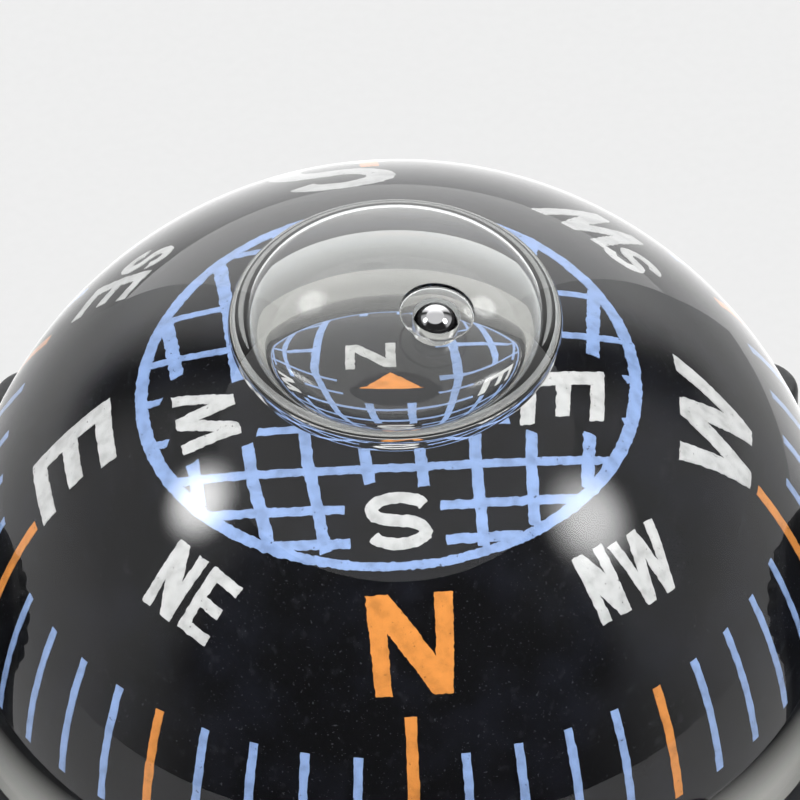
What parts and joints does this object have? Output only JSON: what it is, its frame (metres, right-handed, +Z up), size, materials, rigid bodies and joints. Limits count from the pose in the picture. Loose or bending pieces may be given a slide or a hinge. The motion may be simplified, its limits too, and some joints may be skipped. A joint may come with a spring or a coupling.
{
  "type": "car dashboard compass",
  "caption": "Liquid-filled ball compass with a printed black card ball and an air bubble, held by a clamp band in a tilting U bracket on a swivel foot with a suction cup.",
  "frame": {"origin": "on the floor plane of the suction cup's rim, below the middle of the ball", "axes": "+Z up out of the dome, -Y towards the driver, X along the tilt axis between the two knobs"},
  "size_m": [0.07, 0.0472, 0.0689],
  "materials": {
    "clear_acrylic": "polished clear acrylic",
    "clear_oil": "clear liquid",
    "card_plastic": "black, printed in light blue, white and orange",
    "white_nylon": "plain moulded",
    "magnet_steel": "ground",
    "lead_alloy": "cast",
    "black_abs": "fine satin texture",
    "polished_steel": "polished ball",
    "zinc_steel": "bright zinc",
    "brass": "turned",
    "fibre": "red-brown vulcanised fibre",
    "clear_pvc": "soft clear, glossy"
  },
  "bodies": {
    "base": {"foot": "black_abs", "suction_cup": "clear_pvc", "swivel_insert": "brass", "swivel_screw": "zinc_steel", "spring_washer": "zinc_steel", "friction_disc": "fibre"},
    "bracket": {"yoke": "black_abs", "friction_washer_left": "fibre", "friction_washer_right": "fibre", "washer_left": "zinc_steel", "washer_right": "zinc_steel"},
    "capsule": {"upper_shell": "clear_acrylic", "lower_shell": "clear_acrylic", "fill_plug_ball": "polished_steel", "band_upper": "black_abs", "band_lower": "black_abs", "band_screw_1": "zinc_steel", "band_screw_2": "zinc_steel", "band_screw_3": "zinc_steel", "band_screw_4": "zinc_steel", "pivot_insert_left": "brass", "pivot_insert_right": "brass"},
    "level_oil": {"damping_liquid": "clear_oil"},
    "card": {"card_upper": "card_plastic", "card_lower": "white_nylon", "magnet_carrier": "white_nylon", "bar_magnet_left": "magnet_steel", "bar_magnet_right": "magnet_steel", "ballast_weight": "lead_alloy"},
    "left_knob_set": {"knob_left": "black_abs", "pivot_bolt_left": "zinc_steel"},
    "right_knob_set": {"knob_right": "black_abs", "pivot_bolt_right": "zinc_steel"}
  },
  "joints": [
    {"name": "swivel", "type": "hinge", "parent": "base", "child": "bracket", "pos_m": [0, 0, 0.016], "axis": [0, 0, 1], "continuous": true},
    {"name": "tilt", "type": "hinge", "parent": "bracket", "child": "capsule", "pos_m": [0, 0, 0.0489], "axis": [1, 0, 0], "continuous": true},
    {"name": "level", "type": "hinge", "parent": "capsule", "child": "level_oil", "pos_m": [0, 0, 0.0489], "axis": [1, 0, 0], "continuous": true},
    {"name": "heading", "type": "hinge", "parent": "level_oil", "child": "card", "pos_m": [0, 0, 0.0489], "axis": [0, 0, 1], "continuous": true},
    {"name": "left_knob_turn", "type": "hinge", "parent": "capsule", "child": "left_knob_set", "pos_m": [-0.032, 0, 0.0489], "axis": [-1, 0, 0], "range_deg": [0, 720]},
    {"name": "right_knob_turn", "type": "hinge", "parent": "capsule", "child": "right_knob_set", "pos_m": [0.032, 0, 0.0489], "axis": [1, 0, 0], "range_deg": [0, 720]}
  ],
  "couplings": [
    {"joint": "level", "follows": "tilt", "ratio": -1}
  ]
}
